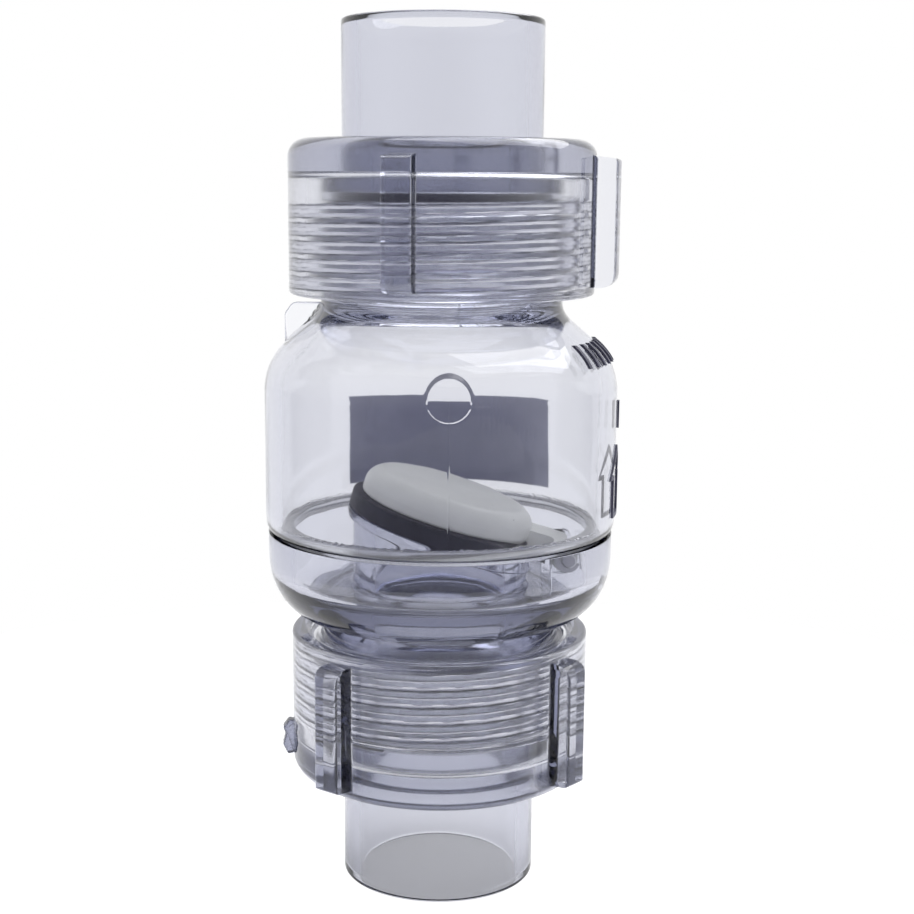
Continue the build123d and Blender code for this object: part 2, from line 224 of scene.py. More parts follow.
def grid_faces(rows: int, cols: int, close_rows: bool = True, close_cols: bool = True) -> np.ndarray:
    """Quads of a grid of vertices, closed in either direction.

    Args:
        rows: the grid's rows.
        cols: the grid's columns.
        close_rows: True if the last row meets the first.
        close_cols: True if the last column meets the first.

    Returns:
        An (n, 4) array of vertex numbers.
    """
    i = np.arange(rows if close_rows else rows - 1)[:, None]
    j = np.arange(cols if close_cols else cols - 1)[None, :]
    i2, j2 = (i + 1) % rows, (j + 1) % cols
    quads = np.stack([i * cols + j, i * cols + j2, i2 * cols + j2, i2 * cols + j], -1)
    return quads.reshape(-1, 4)


def outward(points: np.ndarray, quads: np.ndarray) -> np.ndarray:
    """Quads turned so that a closed surface's faces point out.

    Formula: six times the signed volume is the sum, over each quad's two triangles, of the first
    corner dotted with the cross product of the other two. Below zero, every quad is reversed.

    Args:
        points: the surface's vertices.
        quads: its faces.

    Returns:
        The faces, reversed if they pointed in.
    """
    a, b, c, d = (points[quads[:, k]] for k in range(4))
    volume = np.einsum("ij,ij->i", a, np.cross(b, c)).sum() + np.einsum("ij,ij->i", a, np.cross(c, d)).sum()
    return quads if volume > 0 else quads[:, ::-1]


def make_piece(name: str, points: np.ndarray, faces: list | np.ndarray, sharp: float = 38.0) -> bpy.types.Object:
    """A mesh object at the origin, from points in mm, shaded smooth up to a sharp angle in degrees.

    Args:
        name: the piece's name.
        points: an (n, 3) array in mm.
        faces: quads as an array, or a list of faces.
        sharp: edges that turn by more than this stay sharp.

    Returns:
        The new object.
    """
    mesh = bpy.data.meshes.new(name)
    rows = faces.tolist() if isinstance(faces, np.ndarray) else faces
    mesh.from_pydata((points * MM).tolist(), [], rows)
    mesh.polygons.foreach_set("use_smooth", np.ones(len(mesh.polygons), dtype=bool))
    mesh.set_sharp_from_angle(angle=math.radians(sharp))
    mesh.validate()
    mesh.update()
    piece = bpy.data.objects.new(name, mesh)
    bpy.context.scene.collection.objects.link(piece)
    return piece


def turned_piece(name: str, r: np.ndarray, z: np.ndarray, azimuth: np.ndarray, inlet: bool = False,
                 height: float = 0.0) -> bpy.types.Object:
    """Closed piece from radius, height and azimuth grids.

    Formula: x = r sin(azimuth), y = -r cos(azimuth). An inlet-end piece is turned half a turn
    about X through the valve's middle: y becomes -y and z becomes height - z.

    Args:
        name: the piece's name.
        r: radius of each grid point in mm.
        z: height of each grid point in mm.
        azimuth: azimuth of each grid point in radians.
        inlet: True for the inlet end.
        height: the valve's height in mm.

    Returns:
        The new object.
    """
    x, y = r * np.sin(azimuth), -r * np.cos(azimuth)
    if inlet:
        y, z = -y, height - z
    points = np.stack([x, y, z], -1).reshape(-1, 3)
    quads = outward(points, grid_faces(*r.shape))
    return make_piece(name, points, quads)


def spread(rows: np.ndarray, azimuths: np.ndarray) -> tuple[np.ndarray, np.ndarray, np.ndarray]:
    """Carry an outline round the axis.

    Args:
        rows: (n, 2) array of radius and height.
        azimuths: the columns' azimuths.

    Returns:
        Grids of radius, height and azimuth.
    """
    r = np.repeat(rows[:, :1], len(azimuths), axis=1)
    z = np.repeat(rows[:, 1:], len(azimuths), axis=1)
    return r, z, np.broadcast_to(azimuths, r.shape).copy()


def rounded(corners: list[tuple[float, float, float]]) -> np.ndarray:
    """Closed outline with rounded corners, from (across, height, bend radius) in mm."""
    return outline_rows([Corner(x, z, bend, 1.5) for x, z, bend in corners])


def plate_points(outline: np.ndarray, half: float, rim: float) -> np.ndarray:
    """Rings of points of a plate with rounded edges, drawn standing in the X-Z plane.

    Formula: each ring is the outline moved inward along its normals by rim * (1 - sin a), at
    plus or minus (half - rim + rim * cos a), for angles a from 0 at the face to 90 degrees at
    the side. The normals are the tangents turned a quarter turn, out of the outline.

    Args:
        outline: (n, 2) array of across and height.
        half: half the plate's thickness.
        rim: radius of its edges.

    Returns:
        A (rings, n, 3) array.
    """
    tangent = np.roll(outline, -1, 0) - np.roll(outline, 1, 0)
    tangent /= np.linalg.norm(tangent, axis=1)[:, None]
    after = np.roll(outline, -1, 0)
    turn = (outline[:, 0] * after[:, 1] - after[:, 0] * outline[:, 1]).sum()
    normal = np.stack([tangent[:, 1], -tangent[:, 0]], 1) * np.sign(turn)
    angle = np.radians(np.linspace(0, 90, 6))
    inward = rim * (1 - np.sin(angle))
    depth = half - rim + rim * np.cos(angle)
    inward = np.concatenate([inward, inward[::-1]])
    depth = np.concatenate([-depth, depth[::-1]])
    ring = outline[None] - normal[None] * inward[:, None, None]
    return np.stack([ring[..., 0], np.broadcast_to(depth[:, None], ring.shape[:2]), ring[..., 1]], -1)


def plate(name: str, outline: np.ndarray, half: float, rim: float, place: Matrix) -> bpy.types.Object:
    """Closed plate with rounded edges.

    Args:
        name: the piece's name.
        outline: (n, 2) array of across and height in mm.
        half: half its thickness in mm.
        rim: radius of its edges in mm.
        place: where it goes, as a matrix in mm.

    Returns:
        The new object.
    """
    rings = plate_points(outline, half, rim)
    count = rings.shape[1]
    points = rings.reshape(-1, 3) @ np.array(place.to_3x3()).T + np.array(place.translation)
    quads = grid_faces(rings.shape[0], count, close_rows=False)
    quads = outward(points, quads)
    first = list(range(count))
    last = list(range(len(points) - count, len(points)))
    faces = quads.tolist() + [first, last]
    centre = points.mean(0)
    for face in faces[-2:]:
        flat = points[face]
        area = np.cross(flat, np.roll(flat, -1, 0)).sum(0)
        if area @ (flat.mean(0) - centre) < 0:
            face.reverse()
    return make_piece(name, points, faces)


def joined(name: str, pieces: list[bpy.types.Object]) -> bpy.types.Object:
    """One piece from several.

    Args:
        name: the joined piece's name.
        pieces: the pieces, which all end up in the first.

    Returns:
        The joined piece.
    """
    with bpy.context.temp_override(active_object=pieces[0], selected_editable_objects=pieces):
        bpy.ops.object.join()
    pieces[0].name = name
    return pieces[0]


# ---------------------------------------------------------------- finishes


class Nodes:
    """Short way to add and join the nodes of one material, or of the world."""

    def __init__(self, name: str, world: bool = False) -> None:
        """Start an empty node tree.

        Args:
            name: the name of the material or the world.
            world: True for a world.
        """
        self.owner = (bpy.data.worlds if world else bpy.data.materials).new(name)
        self.owner.use_nodes = True
        self.tree = self.owner.node_tree
        self.tree.nodes.clear()
        self.output = self.add("ShaderNodeOutputWorld" if world else "ShaderNodeOutputMaterial")

    def add(self, kind: str, **settings: object) -> bpy.types.Node:
        """Add a node.

        Args:
            kind: the node's type.
            settings: its properties.

        Returns:
            The new node.
        """
        node = self.tree.nodes.new(kind)
        for key, value in settings.items():
            setattr(node, key, value)
        return node

    def link(self, source: bpy.types.NodeSocket, target: bpy.types.NodeSocket) -> None:
        """Join two sockets."""
        self.tree.links.new(source, target)

    def place(self, scale: tuple[float, float, float] = (1, 1, 1)) -> bpy.types.NodeSocket:
        """Object coordinates.

        Args:
            scale: how much each axis is stretched.

        Returns:
            The socket of the scaled coordinates.
        """
        coordinates = self.add("ShaderNodeTexCoord")
        mapping = self.add("ShaderNodeMapping")
        mapping.inputs["Scale"].default_value = scale
        self.link(coordinates.outputs["Object"], mapping.inputs["Vector"])
        return mapping.outputs["Vector"]

    def noise(self, at: bpy.types.NodeSocket, scale: float, detail: float = 3.0) -> bpy.types.NodeSocket:
        """Noise value.

        Args:
            at: the socket of the place.
            scale: its features in a metre.
            detail: its octaves.

        Returns:
            The socket of the value, from 0 to 1.
        """
        node = self.add("ShaderNodeTexNoise")
        node.inputs["Scale"].default_value = scale
        node.inputs["Detail"].default_value = detail
        self.link(at, node.inputs["Vector"])
        return node.outputs["Fac"]

    def ramp(self, value: bpy.types.NodeSocket, stops: tuple[tuple[float, tuple], ...]) -> bpy.types.NodeSocket:
        """Colour ramp.

        Args:
            value: the socket of the value.
            stops: positions from 0 to 1, each with its colour.

        Returns:
            The socket of the colour.
        """
        node = self.add("ShaderNodeValToRGB")
        while len(node.color_ramp.elements) < len(stops):
            node.color_ramp.elements.new(0.5)
        for element, (position, colour) in zip(node.color_ramp.elements, stops):
            element.position = position
            element.color = (*colour, 1.0)
        self.link(value, node.inputs["Fac"])
        return node.outputs["Color"]

    def span(self, value: bpy.types.NodeSocket, low: float, high: float) -> bpy.types.NodeSocket:
        """A value brought from 0..1 to low..high.

        Args:
            value: the socket of the value.
            low: what 0 becomes.
            high: what 1 becomes.

        Returns:
            The socket of the new value.
        """
        node = self.add("ShaderNodeMapRange")
        node.inputs["To Min"].default_value = low
        node.inputs["To Max"].default_value = high
        self.link(value, node.inputs["Value"])
        return node.outputs["Result"]

    def off_axis(self) -> bpy.types.NodeSocket:
        """Distance from the upright axis, in metres.

        Returns:
            Its socket.
        """
        away = self.add("ShaderNodeVectorMath", operation="LENGTH")
        self.link(self.place((1, 1, 0)), away.inputs[0])
        return away.outputs["Value"]

    def off_middle(self, height: float) -> bpy.types.NodeSocket:
        """Distance above or below a height.

        Args:
            height: the height in metres.

        Returns:
            The socket of the distance in metres.
        """
        split = self.add("ShaderNodeSeparateXYZ")
        self.link(self.place(), split.inputs["Vector"])
        gap = self.add("ShaderNodeMath", operation="SUBTRACT")
        self.link(split.outputs["Z"], gap.inputs[0])
        gap.inputs[1].default_value = height
        away = self.add("ShaderNodeMath", operation="ABSOLUTE")
        self.link(gap.outputs[0], away.inputs[0])
        return away.outputs[0]

    def plus_where(self, measure: bpy.types.NodeSocket, test: str, bound: float, value: bpy.types.NodeSocket,
                   extra: float) -> bpy.types.NodeSocket:
        """A value, plus extra where a measure passes a test.

        Args:
            measure: the socket of the measure.
            test: the comparison, as the Math node names it.
            bound: what the measure is compared with.
            value: the socket of the value.
            extra: what is added where the test passes.

        Returns:
            The socket of the sum.
        """
        within = self.add("ShaderNodeMath", operation=test)
        self.link(measure, within.inputs[0])
        within.inputs[1].default_value = bound
        more = self.add("ShaderNodeMath", operation="MULTIPLY_ADD")
        self.link(within.outputs[0], more.inputs[0])
        more.inputs[1].default_value = extra
        self.link(value, more.inputs[2])
        return more.outputs[0]

    def bump(self, value: bpy.types.NodeSocket, depth: float) -> bpy.types.NodeSocket:
        """Bump normal.

        Args:
            value: the socket of the height, from 0 to 1.
            depth: what a height of 1 stands for, in metres.

        Returns:
            The socket of the normal.
        """
        node = self.add("ShaderNodeBump")
        node.inputs["Distance"].default_value = depth
        node.inputs["Strength"].default_value = 1.0
        self.link(value, node.inputs["Height"])
        return node.outputs["Normal"]


@dataclass(frozen=True)
class ClearPlastic:
    """Clear moulded plastic: tinted by its depth, with faint flow waves, scuffs and fine scratches."""

    name: str
    surface: tuple[float, float, float] = (0.99, 0.992, 0.994)
    depth: tuple[float, float, float] = (0.38, 0.40, 0.53)
    density: float = 52.0
    gloss: float = 0.03
    wave: float = 0.00012
    thread_rough: float = 0.0
    core_r: float = 0.0405
    middle_z: float = 0.1272
    threads_from: float = 0.0508
    threads_inside: bool = False

    def material(self) -> bpy.types.Material:
        """Build the material.

        Returns:
            The new material.
        """
        nodes = Nodes(self.name)
        shader = nodes.add("ShaderNodeBsdfPrincipled")
        shader.inputs["Base Color"].default_value = (*self.surface, 1)
        shader.inputs["Transmission Weight"].default_value = 1.0
        shader.inputs["IOR"].default_value = 1.53
        flow = nodes.noise(nodes.place((1, 1, 0.28)), 55.0, 2.0)
        scuffs = nodes.noise(nodes.place((1, 1, 3.0)), 420.0, 4.0)
        rough = nodes.span(scuffs, self.gloss * 0.4, self.gloss * 2.2)
        if self.threads_inside:
            rough = nodes.plus_where(nodes.off_axis(), "LESS_THAN", self.core_r, rough, self.thread_rough)
        else:
            rough = nodes.plus_where(nodes.off_middle(self.middle_z), "GREATER_THAN", self.threads_from, rough,
                                     self.thread_rough)
        nodes.link(rough, shader.inputs["Roughness"])
        nodes.link(nodes.bump(flow, self.wave), shader.inputs["Normal"])
        depth = nodes.add("ShaderNodeVolumeAbsorption")
        depth.inputs["Color"].default_value = (*self.depth, 1)
        depth.inputs["Density"].default_value = self.density
        nodes.link(shader.outputs["BSDF"], nodes.output.inputs["Surface"])
        nodes.link(depth.outputs["Volume"], nodes.output.inputs["Volume"])
        return nodes.owner


@dataclass(frozen=True)
class Solid:
    """Opaque finish: mottled colour, uneven roughness, a fine bump, and a painted glow in its light colour that
    brightens it beyond the light reaching it.
    """

    name: str
    dark: tuple[float, float, float]
    light: tuple[float, float, float]
    mottle: float
    rough: tuple[float, float]
    grain: float
    grain_depth: float
    metal: float = 0.0
    stretch: tuple[float, float, float] = (1, 1, 1)
    painted_glow: float = 0.0

    def material(self) -> bpy.types.Material:
        """Build the material.

        Returns:
            The new material.
        """
        nodes = Nodes(self.name)
        shader = nodes.add("ShaderNodeBsdfPrincipled")
        shader.inputs["Metallic"].default_value = self.metal
        mottle = nodes.noise(nodes.place(), self.mottle, 5.0)
        grain = nodes.noise(nodes.place(self.stretch), self.grain, 4.0)
        nodes.link(nodes.ramp(mottle, ((0.32, self.dark), (0.68, self.light))), shader.inputs["Base Color"])
        # Painted glow: the light colour is emitted evenly at this strength, lighting the surface as though more
        # light fell on it.
        shader.inputs["Emission Color"].default_value = (*self.light, 1)
        shader.inputs["Emission Strength"].default_value = self.painted_glow
        nodes.link(nodes.span(grain, *self.rough), shader.inputs["Roughness"])
        nodes.link(nodes.bump(grain, self.grain_depth), shader.inputs["Normal"])
        nodes.link(shader.outputs["BSDF"], nodes.output.inputs["Surface"])
        return nodes.owner


@dataclass(frozen=True)
class Cement:
    """Dried solvent cement: cloudy, with streaks and small bubbles."""

    name: str
    cloud: tuple[float, float, float] = (0.985, 0.988, 0.99)
    clearness: float = 0.9
    rough: tuple[float, float] = (0.05, 0.3)
    bubbles: float = 0.00002

    def material(self) -> bpy.types.Material:
        """Build the material.

        Returns:
            The new material.
        """
        nodes = Nodes(self.name)
        shader = nodes.add("ShaderNodeBsdfPrincipled")
        shader.inputs["Transmission Weight"].default_value = self.clearness
        shader.inputs["IOR"].default_value = 1.5
        shader.inputs["Base Color"].default_value = (*self.cloud, 1)
        streaks = nodes.noise(nodes.place((1, 1, 2.5)), 180.0, 5.0)
        nodes.link(nodes.span(streaks, *self.rough), shader.inputs["Roughness"])
        bubbles = nodes.noise(nodes.place(), 500.0, 2.0)
        nodes.link(nodes.bump(bubbles, self.bubbles), shader.inputs["Normal"])
        nodes.link(shader.outputs["BSDF"], nodes.output.inputs["Surface"])
        return nodes.owner


class Finish(Enum):
    """The valve's finishes, each with the record's slot it belongs to."""

    CASING = (ClearPlastic("clear_casing", thread_rough=0.16), "clear_plastic")
    NUT = (ClearPlastic("clear_nut", density=36.0, thread_rough=0.14, threads_inside=True), "clear_plastic")
    SOCKET = (ClearPlastic("clear_socket", density=76.0), "clear_plastic")
    GATE = (ClearPlastic("broken_gate", gloss=0.2, density=420.0), "clear_plastic")
    CEMENT = (Cement("seam_cement"), "clear_plastic")
    FLECK = (Solid("wall_fleck", (0.30, 0.30, 0.33), (0.75, 0.75, 0.76), 60.0, (0.4, 0.6), 700.0, 0.000002),
             "clear_plastic")
    # The white disc carries a faint painted glow that lightens it beyond what the lamps and sky give.
    WHITE = (Solid("white_disc_plastic", (0.80, 0.81, 0.77), (0.86, 0.87, 0.83), 90.0, (0.32, 0.5), 700.0,
                   0.000004, painted_glow=0.07), "white_plastic")
    RUBBER = (Solid("black_seal_rubber", (0.004, 0.004, 0.008), (0.016, 0.015, 0.026), 260.0, (0.45, 0.7), 500.0,
                    0.000006), "black_rubber")
    STEEL = (Solid("stainless_steel", (0.42, 0.42, 0.44), (0.58, 0.58, 0.59), 150.0, (0.22, 0.42), 900.0, 0.000002,
                   1.0, (1, 1, 0.05)), "stainless")
    # The label carries a painted glow that lightens it as though it were lit more strongly.
    VINYL = (Solid("label_vinyl", (0.34, 0.35, 0.47), (0.40, 0.41, 0.53), 110.0, (0.5, 0.62), 160.0, 0.000015,
                   painted_glow=0.22), "label_vinyl")
    INK = (Solid("mark_ink", (0.035, 0.035, 0.06), (0.07, 0.07, 0.11), 300.0, (0.4, 0.6), 700.0, 0.000004),
           "mark_ink")


_made: dict[Finish, bpy.types.Material] = {}


def dress(piece: bpy.types.Object, finish: Finish) -> None:
    """Give a piece its finish's material.

    Args:
        piece: the piece.
        finish: its finish, whose material is made the first time.
    """
    look, slot = finish.value
    if finish not in _made:
        _made[finish] = look.material()
    piece.data.materials.clear()
    piece.data.materials.append(_made[finish])


# ---------------------------------------------------------------- the valve's clear mouldings


@dataclass
class Thread:
    """Right-hand union thread: a trapezoid ridge whose middle climbs one pitch a turn."""

    pitch: float = 5.0
    root_r: float = 35.2
    crest_r: float = 38.3
    base: float = 3.5
    tip: float = 1.2
    first_z: float = 180.6
    last_z: float = 200.6
    play: float = 0.6
    ease: float = 0.12
    run_out: tuple[float, float] = (2.0, 0.6)
    fade: float = 1.4

    def ridge(self, z: np.ndarray, azimuth: np.ndarray, phase: float, base: float, tip: float) -> np.ndarray:
        """Height of a ridge from 0 to 1.

        Formula: the distance from the ridge's middle, along the axis, is the height less the
        phase, in pitches, less the angle from +X in turns, brought within half a pitch. The
        ridge falls from 1 at half the tip to 0 at half the base, eased at both corners.

        Args:
            z: height of each point.
            azimuth: azimuth of each point.
            phase: height of the ridge's middle on the +X side.
            base: the ridge's width at its foot.
            tip: the ridge's width at its crest.

        Returns:
            The ridge's share at each point.
        """
        turns = (z - phase) / self.pitch - (azimuth - math.pi / 2) / TAU
        away = np.abs((turns + 0.5) % 1 - 0.5) * self.pitch
        return smooth_step(base / 2 + self.ease, tip / 2 - self.ease, away)

    def flank(self, radius: float) -> float:
        """Half width of the male ridge at a radius."""
        slope = (self.base - self.tip) / 2 / (self.crest_r - self.root_r)
        return self.base / 2 - slope * (radius - self.root_r)

    def male(self, r: np.ndarray, z: np.ndarray, azimuth: np.ndarray) -> np.ndarray:
        """Raise the ridge on the points that lie on the neck's outer wall.

        Formula: the radius grows by the ridge's height times its share, which fades out past
        the first and the last turn.

        Args:
            r: radius of each point.
            z: height of each point.
            azimuth: azimuth of each point.

        Returns:
            The new radius.
        """
        share = self.ridge(z, azimuth, self.first_z, self.base, self.tip)
        far, near = self.run_out
        run = smooth_step(self.first_z - far, self.first_z - near, z)
        run *= smooth_step(self.last_z + far, self.last_z + near, z)
        on_wall = np.abs(r - self.root_r) < ON_WALL
        return r + np.where(on_wall, (self.crest_r - self.root_r) * share * run, 0)

    def female(self, r: np.ndarray, z: np.ndarray, azimuth: np.ndarray, low: float, high: float) -> np.ndarray:
        """Raise the ridge inward on the points that lie on a nut's inner wall.

        Formula: the nut's ridge fills the male thread's gap but for the play: its width at a
        radius is the pitch less the male ridge's width there and less the play.

        Args:
            r: radius of each point.
            z: height of each point.
            azimuth: azimuth of each point.
            low: height where the thread starts.
            high: height where it ends.

        Returns:
            The new radius.
        """
        wall_r, tip_r = self.crest_r + self.play, self.root_r + self.play
        tip = self.pitch - 2 * self.flank(tip_r) - self.play
        base = self.pitch - 2 * self.flank(wall_r) - self.play
        share = self.ridge(z, azimuth, self.first_z + self.pitch / 2, base, tip)
        run = smooth_step(low, low + self.fade, z) * smooth_step(high, high - self.fade, z)
        on_wall = np.abs(r - wall_r) < ON_WALL
        return r - np.where(on_wall, (wall_r - tip_r) * share * run, 0)


@dataclass
class EndConnector:
    """Pipe socket with a pipe stop, and the flange that the union nut pulls on."""

    height: float
    bore_r: float
    inlet: bool
    outer_r: float = 29.0
    flow_r: float = 20.4
    flange_r: float = 35.2
    flange_z: tuple[float, float] = (203.8, 211.5)
    groove: tuple[float, float, float] = (28.6, 32.4, 2.7)
    depth: float = 35.0

    def build(self) -> bpy.types.Object:
        """Make and dress the connector, and put it in its CAD node's place.

        Returns:
            The new object.
        """
        low, high = self.flange_z
        inner, outer, deep = self.groove
        stop = self.height - self.depth
        rows = outline_rows([
            Corner(inner, low, 0.15), Corner(inner, low + deep, 0.3), Corner(outer, low + deep, 0.3),
            Corner(outer, low, 0.15), Corner(self.flange_r, low, 0.4), Corner(self.flange_r, high, 0.8),
            Corner(self.outer_r, high, 0.6), Corner(self.outer_r, self.height, 0.9, 2.0),
            Corner(self.bore_r + 0.8, self.height, 0.25), Corner(self.bore_r, self.height - 1.6, 1.2),
            Corner(self.bore_r, stop, 0.6, 2.0), Corner(self.flow_r, stop, 0.8), Corner(self.flow_r, low, 0.3),
        ])
        r, z, azimuth = spread(rows, columns(220))
        r += ripple(azimuth, z, 11 + self.inlet, 0.05)
        end = "lower" if self.inlet else "upper"
        piece = turned_piece(f"{end}_socket", r, z, azimuth, self.inlet, self.height)
        dress(piece, Finish.SOCKET)
        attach(piece, f"{end}_tail")
        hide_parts(f"{end}_end_connector")
        return piece


@dataclass
class UnionNut:
    """Ring nut with its inner thread, a rounded closed end and upright grip lugs."""

    thread: Thread
    height: float
    lugs: tuple[float, ...]
    inlet: bool
    outer_r: float = 44.5
    low: float = 177.2
    high: float = 221.2
    hole_r: float = 29.6
    flange: float = 9.5
    crown: float = 5.2
    thread_z: tuple[float, float] = (178.4, 204.0)
    lug_rise: float = 7.0
    lug_width: float = 7.4
    lug_z: tuple[float, float] = (180.0, 216.0)
    lug_edge: float = 0.8
    lug_foot: float = 0.5
    lug_corners: tuple[float, float] = (4.0, 1.0)

    def lug_columns(self) -> list[np.ndarray]:
        """Columns that follow each lug's rounded edges and upright sides.

        Returns:
            The azimuths, an array for each lug.
        """
        offsets = self.lug_width / 2 + np.array(LUG_SIDE)
        both = np.concatenate([-offsets, [0.0], offsets]) / self.outer_r
        return [np.radians(lug) + both for lug in self.lugs]

    def lug_rows(self) -> list[Corner]:
        """Rows of the outer wall that follow the lugs' ends.

        Returns:
            The rows as corners without bends.
        """
        low, high = self.lug_z
        heights = [low + step for step in LUG_START] + [high + step for step in LUG_END]
        return [Corner(self.outer_r, z, 0.0, 4.0) for z in heights]

    def raise_lugs(self, r: np.ndarray, z: np.ndarray, azimuth: np.ndarray) -> np.ndarray:
        """Lift the outer wall into the lugs.

        Formula: the rise is the least of a share across the lug and a share along it. Across,
        the edge is a quarter circle over an upright side with a fillet at its foot. Along, the
        lug's two outer corners are quarter circles.

        Args:
            r: radius of each point.
            z: height of each point.
            azimuth: azimuth of each point.

        Returns:
            The new radius.
        """
        half, rise = self.lug_width / 2, self.lug_rise
        low, high = self.lug_z
        start, end = self.lug_corners
        along = 1 - start / rise * (1 - np.sqrt(1 - np.clip((low + start - z) / start, 0, 1) ** 2))
        along -= end / rise * (1 - np.sqrt(1 - np.clip((z - high + end) / end, 0, 1) ** 2))
        along = np.where((z < low) | (z > high), 0, along)
        outside = r > self.outer_r - 0.6
        for lug in self.lugs:
            across = np.abs(wrap(azimuth - math.radians(lug))) * self.outer_r
            inside = (across - half + self.lug_edge) / self.lug_edge
            edge = 1 - self.lug_edge / rise * (1 - np.sqrt(1 - np.clip(inside, 0, 1) ** 2))
            beside = (half + self.lug_foot - across) / self.lug_foot
            foot = self.lug_foot / rise * (1 - np.sqrt(1 - np.clip(beside, 0, 1) ** 2))
            share = np.where(across <= half, edge, foot)
            r = r + np.where(outside, rise * np.minimum(share, along), 0)
        return r

    def build(self) -> bpy.types.Object:
        """Make and dress the nut, and put it in its CAD node's place.

        Returns:
            The new object.
        """
        wall_r = self.thread.crest_r + self.thread.play
        shoulder = self.high - self.flange
        rows = outline_rows([
            Corner(wall_r + 1.2, self.low, 0.25), Corner(self.outer_r, self.low, 1.2), *self.lug_rows(),
            Corner(self.outer_r, self.high, self.crown), Corner(self.hole_r, self.high, 1.0),
            Corner(self.hole_r, shoulder, 0.3, 2.0), Corner(wall_r, shoulder, 2.0),
            Corner(wall_r, self.thread_z[1], 0.0, 2.0), Corner(wall_r, self.thread_z[0], 0.0, 0.22),
            Corner(wall_r, self.low + 0.9, 0.0, 0.3),
        ])
        r, z, azimuth = spread(rows, columns(200, *self.lug_columns()))
        r = self.thread.female(r, z, azimuth, *self.thread_z)
        r = self.raise_lugs(r, z, azimuth)
        r += ripple(azimuth, z, 21 + self.inlet, 0.06)
        end = "lower" if self.inlet else "upper"
        piece = turned_piece(f"{end}_ring_nut", r, z, azimuth, self.inlet, self.height)
        dress(piece, Finish.NUT)
        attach(piece, f"{end}_nut")
        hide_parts(f"{end}_union_nut")
        return piece


@dataclass
class Bell:
    """Upper half of the casing: cylinder, bent shoulder, cone and threaded neck."""

    thread: Thread
    height: float
    outer_r: float = 51.9
    wall: float = 4.8
    seam_z: float = 107.4
    shoulder_z: float = 158.1
    neck_root_z: float = 172.1
    neck_z: float = 203.6
    bore_r: float = 25.5
    bend: float = 17.0
    boss_azimuth: float = math.radians(2.4)
    boss_z: float = 152.6
    boss_r: float = 6.2
    boss_rise: float = 0.18
    boss_follow: float = 0.3
    boss_edge: float = 0.5
    parting: float = 0.06
    boss_skin: float = 0.85
    cone_wall: float = 6.2
    ease_from: float = 20.0
    outer_ease: tuple[float, float] = (0.35, 6.0)
    inner_ease: tuple[float, float] = (0.7, 5.0)

    def cone_z(self, r: float) -> float:
        """Height of the outer cone at a radius."""
        fall = (self.neck_root_z - self.shoulder_z) / (self.outer_r - self.thread.root_r)
        return self.shoulder_z + fall * (self.outer_r - r)

    def rows(self) -> np.ndarray:
        """The bell's closed outline, with both its shoulder bends eased into the walls.

        Returns:
            An (n, 2) array of radius and height.
        """
        inner_r, root_r = self.outer_r - self.wall, self.thread.root_r
        first, last = self.thread.first_z - 2.4, self.thread.last_z + 2.2
        rows = outline_rows([
            Corner(inner_r, self.seam_z, 0.1), Corner(self.outer_r - 0.35, self.seam_z, 0.15),
            Corner(self.outer_r, self.seam_z + 1.6, 1.0),
            Corner(self.outer_r, self.shoulder_z, self.bend),
            Corner(root_r, self.neck_root_z, 4.0, 1.5), Corner(root_r, first, 0, 1.0),
            Corner(root_r, last, 0, 0.22), Corner(root_r, self.neck_z, 0.5, 1.0),
            Corner(self.bore_r, self.neck_z, 0.6),
            Corner(self.bore_r, self.cone_z(self.bore_r) - self.cone_wall, 4.0),
            Corner(inner_r, self.cone_z(inner_r) - self.cone_wall, self.bend - self.wall),
        ])
        r, z = rows.T
        outer = np.flatnonzero((r > root_r + 3) & (z > self.seam_z + self.ease_from))
        outer = outer[: np.argmax(r[outer] < inner_r - 6) or None]
        rows = soften(rows, outer[0], outer[-1], *self.outer_ease)
        r, z = rows.T
        inner = np.flatnonzero((np.arange(len(r)) > len(r) // 2) & (z < self.cone_z(38.0) - self.cone_wall + 2)
                               & (z > self.seam_z + self.ease_from))
        return soften(rows, inner[0], inner[-1], *self.inner_ease)

    def raise_boss(self, r: np.ndarray, z: np.ndarray, azimuth: np.ndarray) -> np.ndarray:
        """Lift the front wall to a round boss.

        Formula: inside the boss's circle the radius grows by a small rise, plus a share of what
        the shoulder's bend falls back there.

        Args:
            r: radius of each point.
            z: height of each point.
            azimuth: azimuth of each point.

        Returns:
            The new radius.
        """
        across = wrap(azimuth - self.boss_azimuth) * self.outer_r
        away = np.hypot(across, z - self.boss_z)
        share = smooth_step(self.boss_r + self.boss_edge, self.boss_r - self.boss_edge, away)
        outside = (r > self.outer_r - self.boss_skin * self.wall) & (away < 2 * self.boss_r)
        lift = self.boss_rise + self.boss_follow * (self.outer_r - r)
        return np.where(outside, r + lift * share, r)

    def build(self) -> bpy.types.Object:
        """Make and dress the bell, and put it in its CAD node's place.

        Returns:
            The new object.
        """
        boss = np.linspace(-7.0, 7.0, 48) / self.outer_r + self.boss_azimuth
        line = np.array([-0.3, -0.12, 0.0, 0.12, 0.3]) / self.outer_r + self.boss_azimuth
        r, z, azimuth = spread(self.rows(), columns(164, boss, line))
        outside = (r > self.outer_r - self.wall / 2) & (z > self.seam_z + 1) & (z < self.neck_root_z)
        seam = smooth_step(0.3, 0.05, np.abs(wrap(azimuth - self.boss_azimuth)) * self.outer_r)
        r = self.thread.male(r, z, azimuth)
        r = np.where(outside, r + self.parting * seam, r)
        r = self.raise_boss(r, z, azimuth)
        r += ripple(azimuth, z, 31, 0.09)
        piece = turned_piece("bell", r, z, azimuth)
        dress(piece, Finish.CASING)
        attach(piece, "valve_body")
        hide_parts("upper_body")
        return piece


